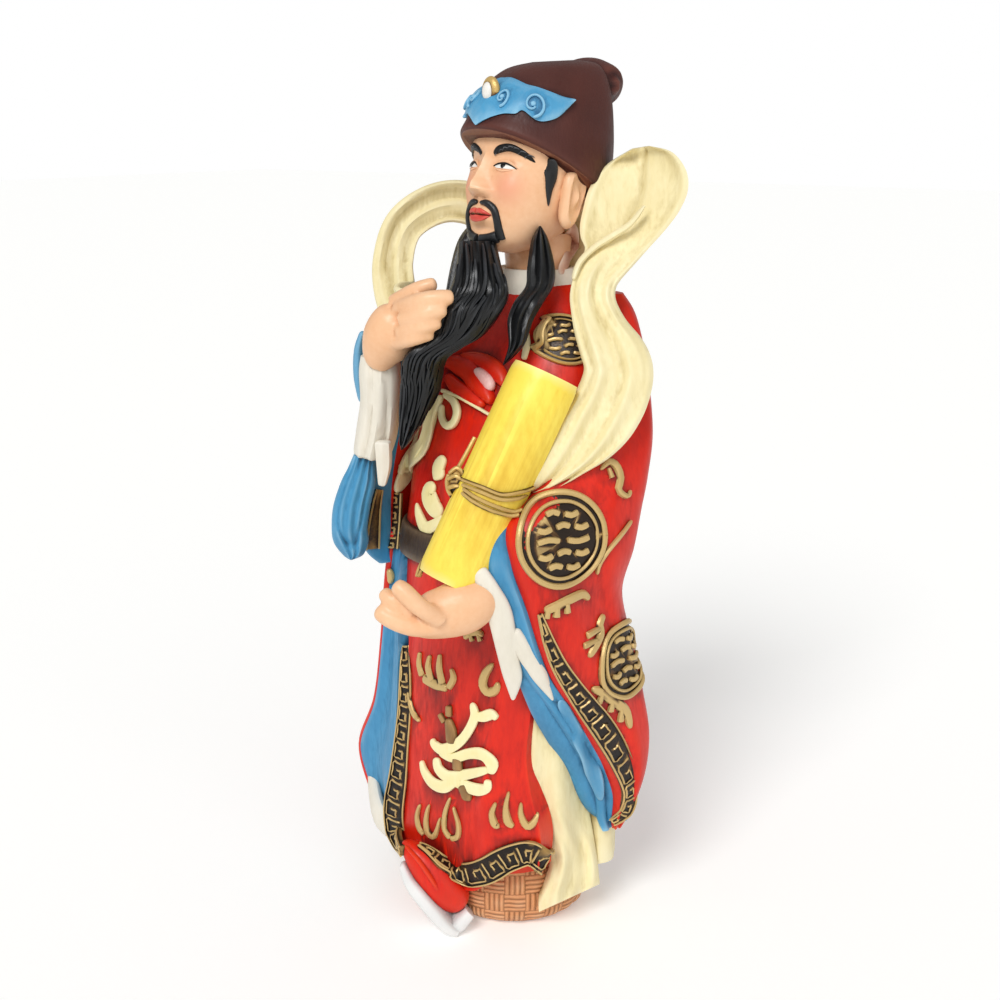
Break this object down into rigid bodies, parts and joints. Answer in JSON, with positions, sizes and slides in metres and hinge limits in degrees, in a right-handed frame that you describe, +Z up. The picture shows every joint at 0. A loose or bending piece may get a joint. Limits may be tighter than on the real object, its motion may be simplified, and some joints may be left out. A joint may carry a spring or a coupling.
{
  "type": "standing deity figure",
  "caption": "Painted cast figure of a standing robed official with a soft cap, long beard, stole and scroll on a woven mound",
  "frame": {"origin": "middle of the flat underside of the mound the figure stands on", "axes": "+Z up, -Y toward the figure's front, +X toward the figure's left hand"},
  "size_m": [0.1783, 0.1763, 0.465],
  "materials": {
    "painted_body": "hand-painted, satin"
  },
  "bodies": {
    "root": {"lu_xing_figure": "painted_body"}
  },
  "joints": []
}
